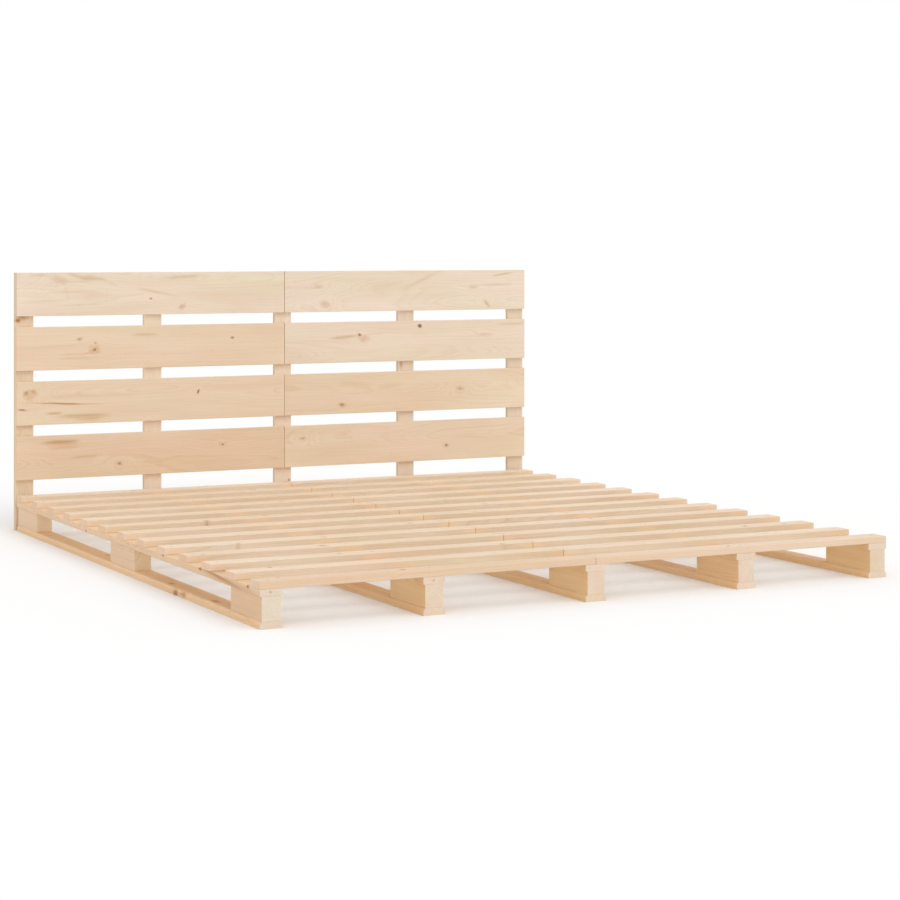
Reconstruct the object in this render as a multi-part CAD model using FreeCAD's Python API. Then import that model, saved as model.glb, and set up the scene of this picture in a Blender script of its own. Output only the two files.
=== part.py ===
import FreeCAD, Part
import math
import os

# Slatted pine bed frame. Five runners made of boards and blocks carry thirteen rows of slats,
# and a headboard of four wide boards on five posts is bolted to the runners' head ends.
# X runs across the bed, Y from the foot end to the head end and Z up from the floor.
# The origin is on the floor, under the middle of the whole frame. All lengths are in millimetres.

# Main sizes of the frame
frame_width = 1855.0
deck_length = 2050.0

# Runner: a bottom board, three blocks and a top board, one above the other
runner_width = 60.0
bottom_board_thickness = 18.0
bottom_board_chamfer_width = 5.0
bottom_board_chamfer_height = 7.0
block_length = 200.0
block_height = 59.0
block_side_inset = 5.0
block_edge_chamfer = 1.0
top_board_thickness = 18.0
top_board_chamfer = 2.5
inner_runner_place_share = 0.5

# Slat: each row is two halves that meet over the middle runner
slat_rows = 13
slat_width = 60.0
slat_thickness = 18.0
slat_edge_chamfer = 1.5
half_joint_gap = 1.0

# Headboard: each row is two boards that meet over the middle post, the lowest row above the slats
headboard_lift_above_slats = 47.0
headboard_rows = 4
headboard_board_height = 140.0
headboard_board_gap = 35.0
headboard_board_thickness = 14.0
headboard_board_edge_chamfer = 1.5
post_width = 60.0
post_thickness = 18.0
post_edge_chamfer = 1.5

# Spacer between each post and the head end of its runner
spacer_width = 40.0
spacer_thickness = 18.0
spacer_edge_chamfer = 1.0

# Bolt, washer and cross nut that pull each post against its runner
bolt_diameter = 8.0
bolt_hole_clearance = 0.4
bolt_head_diameter = 15.0
bolt_head_height = 4.5
bolt_socket_sides = 6
bolt_socket_width = 5.0
bolt_socket_depth = 3.0
bolt_reach_past_nut = 1.9
bolt_tip_clearance = 3.0
washer_diameter = 22.0
washer_thickness = 1.6
counterbore_depth = 6.5
counterbore_clearance = 0.5
cross_nut_diameter = 14.0
cross_nut_length = 24.0
cross_nut_distance_from_end = 40.0
cross_nut_clearance = 0.2

# One overrun for every cut that runs out through a face
cut_overrun = 2.0

# Places worked out from the sizes above
half_width = frame_width / 2
foot_y = -(deck_length + spacer_thickness + post_thickness) / 2
deck_end_y = foot_y + deck_length
post_front_y = deck_end_y + spacer_thickness
post_back_y = post_front_y + post_thickness
board_front_y = post_front_y - headboard_board_thickness
top_board_z = bottom_board_thickness + block_height
slat_z = top_board_z + top_board_thickness
deck_top_z = slat_z + slat_thickness
headboard_board_pitch = headboard_board_height + headboard_board_gap
lowest_board_z = deck_top_z + headboard_lift_above_slats
headboard_height = lowest_board_z + headboard_rows * headboard_board_pitch - headboard_board_gap
block_width = runner_width - 2 * block_side_inset
outer_place_x = half_width - runner_width / 2
inner_place_x = half_width * inner_runner_place_share
half_piece_length = half_width - half_joint_gap / 2
half_piece_middle_x = (half_width + half_joint_gap / 2) / 2
bolt_z = bottom_board_thickness + block_height / 2
bolt_hole_radius = bolt_diameter / 2 + bolt_hole_clearance
bolt_seat_y = post_back_y - counterbore_depth
cross_nut_y = deck_end_y - cross_nut_distance_from_end
bolt_end_y = cross_nut_y - cross_nut_diameter / 2 - bolt_reach_past_nut

# Each runner, and the post behind it, has a name and a place across the bed
runner_places = {
    "left": -outer_place_x,
    "mid_left": -inner_place_x,
    "middle": 0.0,
    "mid_right": inner_place_x,
    "right": outer_place_x,
}
sides = {"left": -1, "right": 1}

# Directions along the frame, and the angle that turns a profile into a round solid
FULL_TURN = 360
AXIS_X = FreeCAD.Vector(1, 0, 0)
AXIS_Y = FreeCAD.Vector(0, 1, 0)
AXIS_Z = FreeCAD.Vector(0, 0, 1)


def planed_box(low, high, chamfer):
    """A planed piece of wood from its lowest to its highest corner, with every edge eased."""
    size = high - low
    box = Part.makeBox(size.x, size.y, size.z, low)
    return box.makeChamfer(chamfer, box.Edges)


def board_along_y(outline):
    """A board as long as the deck, with the same outline of (x, z) points from end to end."""
    corners = [FreeCAD.Vector(x, foot_y, z) for x, z in outline]
    face = Part.Face(Part.makePolygon(corners + corners[:1]))
    return face.extrude(AXIS_Y * deck_length)


def hole_from_back(mouth_y, depth, radius, place_x):
    """A cutter for a hole on a bolt's line, drilled towards the foot end."""
    start = FreeCAD.Vector(place_x, mouth_y + cut_overrun, bolt_z)
    return Part.makeCylinder(radius, depth + cut_overrun, start, -AXIS_Y)


def make_bottom_board(place_x):
    """The runner's board on the floor, its two upper long edges planed to a slope."""
    half = runner_width / 2
    slope_x = half - bottom_board_chamfer_width
    slope_z = bottom_board_thickness - bottom_board_chamfer_height
    outline = [
        (place_x - half, 0),
        (place_x + half, 0),
        (place_x + half, slope_z),
        (place_x + slope_x, bottom_board_thickness),
        (place_x - slope_x, bottom_board_thickness),
        (place_x - half, slope_z),
    ]
    return board_along_y(outline)


def make_top_board(place_x):
    """The runner's board under the slats, its two lower long edges eased."""
    half = runner_width / 2
    eased_x = half - top_board_chamfer
    eased_z = top_board_z + top_board_chamfer
    outline = [
        (place_x - eased_x, top_board_z),
        (place_x + eased_x, top_board_z),
        (place_x + half, eased_z),
        (place_x + half, slat_z),
        (place_x - half, slat_z),
        (place_x - half, eased_z),
    ]
    return board_along_y(outline)


def make_runner_blocks(place_x):
    """A runner's three blocks, at its foot end, middle and head end, the last one drilled for the bolt."""
    half = block_width / 2
    middle_y = foot_y + (deck_length - block_length) / 2
    head_y = deck_end_y - block_length
    blocks = []
    for start_y in (foot_y, middle_y, head_y):
        low = FreeCAD.Vector(place_x - half, start_y, bottom_board_thickness)
        high = FreeCAD.Vector(place_x + half, start_y + block_length, top_board_z)
        blocks.append(planed_box(low, high, block_edge_chamfer))
    blocks[-1] = blocks[-1].cut(head_block_drilling(place_x))
    return Part.makeCompound(blocks)


def head_block_drilling(place_x):
    """The long hole for the bolt, and the hole for the cross nut from the block's inner side."""
    bolt_hole_depth = deck_end_y - bolt_end_y + bolt_tip_clearance
    bolt_hole = hole_from_back(deck_end_y, bolt_hole_depth, bolt_hole_radius, place_x)
    inward = AXIS_X if place_x > 0 else -AXIS_X
    nut_hole_radius = cross_nut_diameter / 2 + cross_nut_clearance
    nut_hole_depth = (block_width + cross_nut_length) / 2
    side = FreeCAD.Vector(place_x, cross_nut_y, bolt_z) - inward * (block_width / 2 + cut_overrun)
    nut_hole = Part.makeCylinder(nut_hole_radius, nut_hole_depth + cut_overrun, side, inward)
    return bolt_hole.fuse(nut_hole)


def make_slat(row, side):
    """One half of a row of slats, from the middle of the bed to one side."""
    pitch = (deck_length - slat_width) / (slat_rows - 1)
    start_y = foot_y + row * pitch
    middle_x = side * half_piece_middle_x
    low = FreeCAD.Vector(middle_x - half_piece_length / 2, start_y, slat_z)
    high = FreeCAD.Vector(middle_x + half_piece_length / 2, start_y + slat_width, deck_top_z)
    return planed_box(low, high, slat_edge_chamfer)


def make_headboard_board(row, side):
    """One wide board of the headboard, from the middle of the bed to one side, counted from the top."""
    top_z = headboard_height - row * headboard_board_pitch
    middle_x = side * half_piece_middle_x
    low = FreeCAD.Vector(middle_x - half_piece_length / 2, board_front_y, top_z - headboard_board_height)
    high = FreeCAD.Vector(middle_x + half_piece_length / 2, post_front_y, top_z)
    return planed_box(low, high, headboard_board_edge_chamfer)


def make_post(place_x):
    """A headboard post from the floor to the top, with a deep seat for its bolt's head in the back."""
    half = post_width / 2
    low = FreeCAD.Vector(place_x - half, post_front_y, 0)
    high = FreeCAD.Vector(place_x + half, post_back_y, headboard_height)
    post = planed_box(low, high, post_edge_chamfer)
    seat_radius = washer_diameter / 2 + counterbore_clearance
    seat = hole_from_back(post_back_y, counterbore_depth, seat_radius, place_x)
    hole = hole_from_back(post_back_y, post_thickness + cut_overrun, bolt_hole_radius, place_x)
    return post.cut(seat.fuse(hole))


def make_spacer(place_x):
    """A packer between a post and its runner's head-end block, drilled for the bolt."""
    half = spacer_width / 2
    low = FreeCAD.Vector(place_x - half, deck_end_y, bottom_board_thickness)
    high = FreeCAD.Vector(place_x + half, post_front_y, top_board_z)
    spacer = planed_box(low, high, spacer_edge_chamfer)
    hole = hole_from_back(post_front_y, spacer_thickness + cut_overrun, bolt_hole_radius, place_x)
    return spacer.cut(hole)


def make_bolt(place_x):
    """A bolt with a round flat head and a hexagon socket, turned about its own line."""
    under_head_y = bolt_seat_y + washer_thickness
    head_top_y = under_head_y + bolt_head_height
    profile = [
        (0, bolt_end_y),
        (bolt_diameter / 2, bolt_end_y),
        (bolt_diameter / 2, under_head_y),
        (bolt_head_diameter / 2, under_head_y),
        (bolt_head_diameter / 2, head_top_y),
        (0, head_top_y),
    ]
    corners = [FreeCAD.Vector(place_x + radius, y, bolt_z) for radius, y in profile]
    half_section = Part.Face(Part.makePolygon(corners + corners[:1]))
    centre = FreeCAD.Vector(place_x, head_top_y, bolt_z)
    bolt = half_section.revolve(centre, AXIS_Y, FULL_TURN)
    return bolt.cut(hexagon_socket(centre))


def hexagon_socket(mouth):
    """A cutter for the six-sided recess in a bolt's head, at the middle of the head's face."""
    half_side_angle = math.pi / bolt_socket_sides
    corner_radius = bolt_socket_width / 2 / math.cos(half_side_angle)
    corners = []
    for corner in range(bolt_socket_sides):
        angle = 2 * half_side_angle * corner
        around = AXIS_X * math.cos(angle) + AXIS_Z * math.sin(angle)
        corners.append(mouth - AXIS_Y * bolt_socket_depth + around * corner_radius)
    face = Part.Face(Part.makePolygon(corners + corners[:1]))
    return face.extrude(AXIS_Y * (bolt_socket_depth + cut_overrun))


def make_washer(place_x):
    """The flat washer under a bolt's head, in the post's deep seat."""
    seat = FreeCAD.Vector(place_x, bolt_seat_y, bolt_z)
    disc = Part.makeCylinder(washer_diameter / 2, washer_thickness, seat, AXIS_Y)
    return disc.cut(hole_from_back(post_back_y, post_thickness, bolt_hole_radius, place_x))


def make_cross_nut(place_x):
    """The round steel nut that lies across the head-end block, with the bolt through its middle."""
    end = FreeCAD.Vector(place_x - cross_nut_length / 2, cross_nut_y, bolt_z)
    barrel = Part.makeCylinder(cross_nut_diameter / 2, cross_nut_length, end, AXIS_X)
    mouth_y = cross_nut_y + cross_nut_diameter / 2
    return barrel.cut(hole_from_back(mouth_y, cross_nut_diameter + cut_overrun, bolt_diameter / 2, place_x))


def one_for_each_runner(make):
    """Five like pieces in one group, one on each runner."""
    return Part.makeCompound([make(place_x) for place_x in runner_places.values()])


def make_all():
    """Every sub-part of the bed frame, by name."""
    parts = {}
    for name, place_x in runner_places.items():
        parts["runner_bottom_board_" + name] = make_bottom_board(place_x)
        parts["runner_blocks_" + name] = make_runner_blocks(place_x)
        parts["runner_top_board_" + name] = make_top_board(place_x)
        parts["headboard_post_" + name] = make_post(place_x)
    for name, side in sides.items():
        for row in range(slat_rows):
            parts["slat_%02d_%s" % (row + 1, name)] = make_slat(row, side)
        for row in range(headboard_rows):
            parts["headboard_board_%d_%s" % (row + 1, name)] = make_headboard_board(row, side)
    parts["headboard_spacers"] = one_for_each_runner(make_spacer)
    parts["headboard_bolts"] = one_for_each_runner(make_bolt)
    parts["bolt_washers"] = one_for_each_runner(make_washer)
    parts["cross_nuts"] = one_for_each_runner(make_cross_nut)
    return parts


os.makedirs("parts", exist_ok=True)
for node, shape in make_all().items():
    shape.exportStep("parts/" + node + ".step")
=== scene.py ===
"""Looks of a low pine bed frame with a slotted headboard.

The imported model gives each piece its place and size. Every wooden piece is modelled again in mesh
code as a planed board with rounded arrises, drilled where it is drilled, and dressed in solid pine
whose rings, knots and fibres run through the board and come out on its ends. The bolts, washers and
cross nuts stay as packed with better finishes, and the wood screws are added here.
"""

import logging
import math
import random
from dataclasses import dataclass, field, replace
from enum import Enum
from functools import partial
from typing import Callable, Iterable, Sequence

import bpy
from mathutils import Matrix, Vector
from mathutils.geometry import tessellate_polygon


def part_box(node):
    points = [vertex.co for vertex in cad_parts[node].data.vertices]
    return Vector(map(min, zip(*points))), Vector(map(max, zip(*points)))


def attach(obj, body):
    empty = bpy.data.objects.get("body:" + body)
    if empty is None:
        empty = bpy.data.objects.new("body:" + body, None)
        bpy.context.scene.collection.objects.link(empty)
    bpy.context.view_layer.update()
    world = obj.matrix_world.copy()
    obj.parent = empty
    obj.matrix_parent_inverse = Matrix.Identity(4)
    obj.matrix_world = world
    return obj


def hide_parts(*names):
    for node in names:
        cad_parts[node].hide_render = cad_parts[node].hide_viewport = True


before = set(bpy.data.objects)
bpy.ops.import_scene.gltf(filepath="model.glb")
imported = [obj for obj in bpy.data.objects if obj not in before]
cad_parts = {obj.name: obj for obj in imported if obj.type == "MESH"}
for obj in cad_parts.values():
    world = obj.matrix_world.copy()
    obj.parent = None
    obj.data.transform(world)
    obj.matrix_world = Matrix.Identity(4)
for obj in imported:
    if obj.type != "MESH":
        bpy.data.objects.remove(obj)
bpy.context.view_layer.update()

LOG = logging.getLogger("bed_frame")
MM = 0.001
BODY = "root"
MAP_NAME = "OFBake"
RUNNER_NAMES = ("left", "mid_left", "middle", "mid_right", "right")
SMOOTH = {"interpolation_type": "SMOOTHSTEP"}
COLOURS = {"data_type": "RGBA"}
WHITE = (1.0, 1.0, 1.0)
NOISE_MIDDLE = 0.5

Spot = tuple[float, float]
Box = tuple[Vector, Vector]
Seat = tuple[Vector, Vector]
Tree = bpy.types.NodeTree
Socket = bpy.types.NodeSocket
Sockets = bpy.types.bpy_prop_collection
Material = bpy.types.Material
Adder = Callable[..., Socket | None]


class Lay(Enum):
    """How a board lies in the bed: the directions of its length and of its width."""

    ACROSS_FLAT = ((1, 0, 0), (0, 1, 0))
    ACROSS_UPRIGHT = ((1, 0, 0), (0, 0, 1))
    UPRIGHT = ((0, 0, 1), (1, 0, 0))
    LENGTHWISE = ((0, 1, 0), (-1, 0, 0))

    def axes(self) -> tuple[Vector, Vector, Vector]:
        """The directions of the board's length, width and face."""
        along, across = (Vector(axis) for axis in self.value)
        return along, across, along.cross(across)

    def placed(self, middle: Vector) -> Matrix:
        """The matrix that carries a board from its own axes to its place with this middle."""
        turned = Matrix(self.axes()).transposed().to_4x4()
        return Matrix.Translation(middle) @ turned

    def own(self, direction: Vector) -> Vector:
        """A direction of the bed's frame in the board's own axes."""
        return Vector([direction.dot(axis) for axis in self.axes()])


class Outlet(Enum):
    """Where a knot comes out of a board: its axis, and the side by a sign along that axis."""

    FACES = (2, 0)
    LEFT_EDGE = (1, 1)
    START = (0, -1)


class Face(Enum):
    """A flat side of a board, by its outward direction across and through the board."""

    FRONT = (0, 1)
    LEFT_EDGE = (1, 0)
    RIGHT_EDGE = (-1, 0)


@dataclass(frozen=True)
class Knot:
    """A knot and the stained wood round its heart, in millimetres from the board's middle.

    Attributes:
        along: place along the board.
        across: place across the board, or through it if the knot runs out at an edge or an end.
        radius: half the width of the stained wood.
        darkness: 0 for a pale live heart, 1 for a dark dead one.
        stretch: how many times longer than wide it looks.
        stain: how strongly the wood round the heart is stained.
        heart: the heart's share of the width.
        rise: how far it climbs across the board for each millimetre along it.
        outlet: where it comes out. For an end, "along" counts across the board.
    """

    along: float
    across: float
    radius: float
    darkness: float = 0.5
    stretch: float = 1.4
    stain: float = 0.5
    heart: float = 0.45
    rise: float = 0.0
    outlet: Outlet = Outlet.FACES


@dataclass(frozen=True)
class Streak:
    """A resin-rich streak, in millimetres from the board's middle.

    Attributes:
        along: place of its middle along the board.
        across: place of its middle across the board, or through it if it shows on the edges.
        half_length: half its length.
        half_width: half its width.
        rise: how far it climbs across the board for each millimetre along it.
        strength: how much it colours the wood.
        edgewise: the streak shows on the board's edges instead of its faces.
    """

    along: float
    across: float
    half_length: float
    half_width: float
    rise: float = 0.0
    strength: float = 0.5
    edgewise: bool = False


@dataclass(frozen=True)
class Hole:
    """A round hole with a flat floor in one side of a board, in metres from the board's middle.

    Without other sizes it is the countersunk mouth that a wood screw's head lies in.
    """

    along: float
    across: float
    radius: float = 4.3 * MM
    depth: float = 2.9 * MM
    floor_radius: float = 1.7 * MM
    face: Face = Face.FRONT


@dataclass
class MeshDraft:
    """Points, normals, faces and map places of a piece while it is made."""

    points: list[Vector] = field(default_factory=list)
    normals: list[Vector] = field(default_factory=list)
    faces: list[list[int]] = field(default_factory=list)
    places: list[Spot] = field(default_factory=list)

    def point(self, place: Vector, normal: Vector) -> int:
        """Adds a point.

        Args:
            place: where it is.
            normal: the way the surface looks there.

        Returns:
            The point's number.
        """
        self.points.append(place)
        self.normals.append(normal.normalized())
        return len(self.points) - 1

    def face(self, corners: Sequence[int], places: Sequence[Spot]) -> None:
        """Adds a face, turned so that it looks the way its points' normals do.

        Args:
            corners: numbers of the face's points.
            places: the place of each corner on the map.
        """
        ring = [self.points[corner] for corner in corners]
        turned = Vector((0, 0, 0))
        for here, there in zip(ring, ring[1:] + ring[:1]):
            turned += (here - ring[0]).cross(there - ring[0])
        wanted = sum((self.normals[corner] for corner in corners), Vector((0, 0, 0)))
        way = 1 if turned.dot(wanted) >= 0 else -1
        self.faces.append(list(corners)[::way])
        self.places.extend(list(places)[::way])

    def band(
        self, first: Sequence[int], second: Sequence[int], near: Sequence[Spot], far: Sequence[Spot],
    ) -> None:
        """Joins two closed rings of points with four-sided faces.

        Args:
            first: point numbers of one ring.
            second: point numbers of the other ring.
            near: map places of the first ring's points.
            far: map places of the second ring's points.
        """
        for here in range(len(first)):
            there = (here + 1) % len(first)
            self.face(
                [first[here], first[there], second[there], second[here]],
                [near[here], near[there], far[there], far[here]])

    def flat(self, loops: Sequence[Sequence[int]], places: dict[int, Spot]) -> None:
        """Fills an outline, less the holes in it.

        Args:
            loops: point numbers of the outline, then of each hole.
            places: the place of each point on the map.
        """
        order = [number for loop in loops for number in loop]
        outlines = [[self.points[number] for number in loop] for loop in loops]
        for corners in tessellate_polygon(outlines):
            chosen = [order[corner] for corner in corners]
            self.face(chosen, [places[number] for number in chosen])

    def to_object(self, name: str) -> bpy.types.Object:
        """Makes the object and links it to the scene.

        Args:
            name: the piece's name.

        Returns:
            The object, with its map and its normals.
        """
        mesh = bpy.data.meshes.new(name)
        mesh.from_pydata(self.points, [], self.faces)
        layer = mesh.uv_layers.new(name=MAP_NAME)
        layer.data.foreach_set("uv", [value for place in self.places for value in place])
        mesh.shade_smooth()
        mesh.normals_split_custom_set_from_vertices(self.normals)
        made = bpy.data.objects.new(name, mesh)
        bpy.context.scene.collection.objects.link(made)
        return made


def middle_of(box: Box) -> Vector:
    """The middle of a box."""
    return (box[0] + box[1]) / 2


def rectangle(wide: float, deep: float) -> list[Spot]:
    """Corners of a rectangle with these half sizes, anticlockwise."""
    return [(-wide, -deep), (wide, -deep), (wide, deep), (-wide, deep)]


@dataclass
class Board:
    """A planed board in its own axes: length on X, width on Y, face towards +Z.

    Attributes:
        box: its lowest and highest corners in the bed's frame.
        lay: how it lies.
        rounding: radius of the eased long arrises, in metres.
        outline: gives the cross-section's corners, anticlockwise, for half its width and thickness.
        holes: the round holes drilled in it.
        end_rounding: radius of the eased arrises at the ends, no larger than the long ones.
        end_inset_share: how much of the end rounding also draws the outline in.
        hair: how much smaller than its box it is, so that nothing stands out.
    """

    box: Box
    lay: Lay
    rounding: float
    outline: Callable[[float, float], list[Spot]] = rectangle
    holes: list[Hole] = field(default_factory=list)
    end_rounding: float = 0.7 * MM
    end_inset_share: float = 0.9
    hair: float = 0.002 * MM
    # Flats in a quarter turn of an arris and in a hole's wall, and how far one flat side may turn
    arc_steps: int = 3
    hole_steps: int = 20
    flat_within: float = math.radians(1)
    # The map: the long sides on its left, the ends one over the other on its right, a hole's wall in
    # the hole's own place
    map_long_share: float = 0.94
    map_end_shares: Spot = (0.955, 0.995)
    map_end_starts: Spot = (0.01, 0.51)
    map_end_height: float = 0.48
    map_wall_shares: Spot = (0.95, 0.6)

    def __post_init__(self) -> None:
        """Works out the board's middle, and its length, width and thickness."""
        self.middle = middle_of(self.box)
        self.size = Vector([abs(value) - self.hair for value in self.lay.own(self.box[1] - self.box[0])])

    def own(self, place: Vector) -> Vector:
        """A place of the bed's frame in the board's own axes."""
        return self.lay.own(place - self.middle)

    def rim(self) -> list[tuple[Vector, Vector]]:
        """The cross-section's rounded outline.

        Returns:
            Place and outward normal of each point, anticlockwise.
        """
        corners = [Vector(corner) for corner in self.outline(self.size.y / 2, self.size.z / 2)]
        rim = []
        for before, corner, after in zip(corners[-1:] + corners, corners, corners[1:] + corners[:1]):
            arriving = (corner - before).normalized()
            leaving = (after - corner).normalized()
            swing = arriving.x * leaving.y - arriving.y * leaving.x
            turn = math.atan2(swing, arriving.dot(leaving))
            start = Vector((arriving.y, -arriving.x))
            centre = corner - arriving * self.rounding * math.tan(turn / 2) - start * self.rounding
            steps = max(1, round(self.arc_steps * turn / (math.pi / 2)))
            for step in range(steps + 1):
                angle = math.atan2(start.y, start.x) + turn * step / steps
                normal = Vector((math.cos(angle), math.sin(angle)))
                rim.append((centre + normal * self.rounding, normal))
        return rim

    def rings(self) -> list[tuple[float, float, float]]:
        """The rings of points along the board, from one end to the other.

        Returns:
            Place, inset and lean of each ring.
        """
        half = self.size.x / 2
        end = []
        for step in range(self.arc_steps + 1):
            angle = math.pi / 2 * (1 - step / self.arc_steps)
            place = -half + self.end_rounding * (1 - math.sin(angle))
            inset = self.end_rounding * (1 - math.cos(angle)) * self.end_inset_share
            end.append((place, inset, -math.sin(angle)))
        return end + [(-place, inset, -lean) for place, inset, lean in reversed(end)]

    def map_along(self, along: float) -> float:
        """Where a place along the board falls on the map."""
        return (along / self.size.x + 0.5) * self.map_long_share

    def map_end(self, spot: Vector, start: float) -> Spot:
        """Where a point of an end falls on the map, if that end starts there.

        Args:
            spot: the point.
            start: how far up the map the end starts.

        Returns:
            The place on the map.
        """
        low, high = self.map_end_shares
        across = low + (high - low) * (spot.z / self.size.z + 0.5)
        return across, start + self.map_end_height * (spot.y / self.size.y + 0.5)

    def draft(self) -> MeshDraft:
        """The board's mesh.

        Returns:
            A draft with its long sides, ends and holes.
        """
        draft = MeshDraft()
        rim = self.rim()
        steps = [(there - here).length for (here, _), (there, _) in zip(rim, rim[1:] + rim[:1])]
        around = [sum(steps[:index]) / sum(steps) for index in range(len(rim) + 1)]
        rings = self.rings()
        numbers = []
        for place, inset, lean in rings:
            upright = math.sqrt(max(0.0, 1 - lean * lean))
            ring = []
            for spot, normal in rim:
                at = spot - normal * inset
                outward = Vector((lean, *(normal * upright)))
                ring.append(draft.point(Vector((place, at.x, at.y)), outward))
            numbers.append(ring)
        middle = len(rings) // 2 - 1
        for index, (near, far) in enumerate(zip(numbers, numbers[1:])):
            low, high = (self.map_along(ring[0]) for ring in rings[index:index + 2])
            for side in range(len(rim)):
                after = (side + 1) % len(rim)
                start, stop = around[side:side + 2]
                corners = [near[side], near[after], far[after], far[side]]
                places = [(low, start), (low, stop), (high, stop), (high, start)]
                holes = self.holes_on(rim[side][1], rim[after][1]) if index == middle else []
                if holes:
                    self.drill(draft, corners, places, rim[side][1], holes)
                else:
                    draft.face(corners, places)
        for ring, start in zip((numbers[0], numbers[-1]), self.map_end_starts):
            draft.face(ring, [self.map_end(draft.points[number], start) for number in ring])
        return draft

    def holes_on(self, here: Vector, there: Vector) -> list[Hole]:
        """The holes in the flat side between two rim points with these normals."""
        near = math.cos(self.flat_within)
        return [
            hole for hole in self.holes
            if here.dot(there) > near and here.dot(Vector(hole.face.value)) > near]

    def drill(
        self,
        draft: MeshDraft,
        corners: Sequence[int],
        places: Sequence[Spot],
        outward: Vector,
        holes: Iterable[Hole],
    ) -> None:
        """Fills a flat side round its holes, and gives each hole its wall and floor.

        Args:
            draft: the mesh being made.
            corners: the side's corners.
            places: their places on the map.
            outward: the side's outward direction in the cross-section.
            holes: what is drilled in it.
        """
        normal = Vector((0, outward.x, outward.y))
        across_axis = Vector((0, abs(outward.y), abs(outward.x)))
        first = draft.points[corners[0]]
        run = (draft.points[corners[1]] - first).dot(across_axis)
        on_map = dict(zip(corners, places))
        loops = [list(corners)]
        turns = [math.tau * step / self.hole_steps for step in range(self.hole_steps)]
        spokes = [Vector((math.cos(turn), 0, 0)) + across_axis * math.sin(turn) for turn in turns]

        def map_place(spot: Vector) -> Spot:
            """The map place of a point on this side."""
            share = (spot - first).dot(across_axis) / run
            return self.map_along(spot.x), places[0][1] + (places[1][1] - places[0][1]) * share

        for hole in holes:
            centre = normal * first.dot(normal) + across_axis * hole.across + Vector((hole.along, 0, 0))
            sunk = centre - normal * hole.depth
            slope = (hole.radius - hole.floor_radius) / hole.depth
            top = [centre + spoke * hole.radius for spoke in spokes]
            bottom = [sunk + spoke * hole.floor_radius for spoke in spokes]
            inward = [normal * slope - spoke for spoke in spokes]
            mouth = [draft.point(spot, normal) for spot in top]
            on_map.update({number: map_place(draft.points[number]) for number in mouth})
            loops.append(mouth)
            rim = [draft.point(spot, way) for spot, way in zip(top, inward)]
            foot = [draft.point(spot, way) for spot, way in zip(bottom, inward)]
            floor = [draft.point(spot, normal) for spot in bottom]
            outer, inner = (
                [map_place(centre + spoke * hole.radius * share) for spoke in spokes]
                for share in self.map_wall_shares)
            draft.band(rim, foot, outer, inner)
            draft.face(floor, inner)
        draft.flat(loops, on_map)


def linear(colour: str) -> tuple[float, float, float, float]:
    """Turns an sRGB hex colour into the linear values that a shader takes.

    Args:
        colour: the colour as "#RRGGBB".

    Returns:
        Red, green, blue and full opacity.
    """
    parts = [int(colour[start:start + 2], 16) / 255 for start in (1, 3, 5)]
    return (*(part / 12.92 if part <= 0.04045 else ((part + 0.055) / 1.055) ** 2.4 for part in parts), 1.0)


def add(tree: Tree, kind: str, *values: object, output: int | str = 0, **settings: object) -> Socket | None:
    """Adds a node to a tree.

    Args:
        tree: the tree that gets the node.
        kind: the node's type without its usual first word, then a colon and its operation if it has one.
        values: sockets or plain values for its inputs in order, or one dict of them by name or number.
        output: name or number of the output that is wanted.
        settings: the node's other properties.

    Returns:
        That output, or None for a node without outputs.
    """
    kind, _, operation = kind.partition(":")
    made = tree.nodes.new(kind if kind.startswith("Node") else "ShaderNode" + kind)
    for key, value in (settings | ({"operation": operation} if operation else {})).items():
        setattr(made, key, value)

    def pick(sockets: Iterable[Socket], key: int | str) -> Socket:
        """The socket in use with this number or name."""
        used = [socket for socket in sockets if socket.enabled]
        return used[key] if isinstance(key, int) else next(one for one in used if one.name == key)

    by_name = bool(values) and isinstance(values[0], dict)
    for key, value in (values[0] if by_name else dict(enumerate(values))).items():
        socket = pick(made.inputs, key)
        if isinstance(value, Socket):
            tree.links.new(value, socket)
        else:
            socket.default_value = value
    return pick(made.outputs, output) if made.outputs else None


def new_group(name: str, inputs: dict[str, str], outputs: dict[str, str]) -> tuple[Tree, Adder, Sockets]:
    """Makes a node group with typed inputs and outputs.

    Args:
        name: the group's name.
        inputs: kind of each input by its name.
        outputs: kind of each output by its name.

    Returns:
        The group, the function that adds a node to it, and what the group is given.
    """
    tree = bpy.data.node_groups.new(name, "ShaderNodeTree")
    for way, sockets in (("INPUT", inputs), ("OUTPUT", outputs)):
        for title, kind in sockets.items():
            tree.interface.new_socket(name=title, in_out=way, socket_type="NodeSocket" + kind)
    return tree, partial(add, tree), add(tree, "NodeGroupInput").node.outputs


def new_material(name: str) -> tuple[Material, Adder]:
    """Makes a material without nodes.

    Args:
        name: the material's name.

    Returns:
        The material, and the function that adds a node to it.
    """
    made = bpy.data.materials.new(name)
    made.use_nodes = True
    made.node_tree.nodes.clear()
    return made, partial(add, made.node_tree)


def in_millimetres(node: Adder) -> Socket:
    """The place of a point in its piece, in millimetres."""
    return node("VectorMath:SCALE", {0: node("TexCoord", output="Object"), "Scale": 1 / MM})


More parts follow.
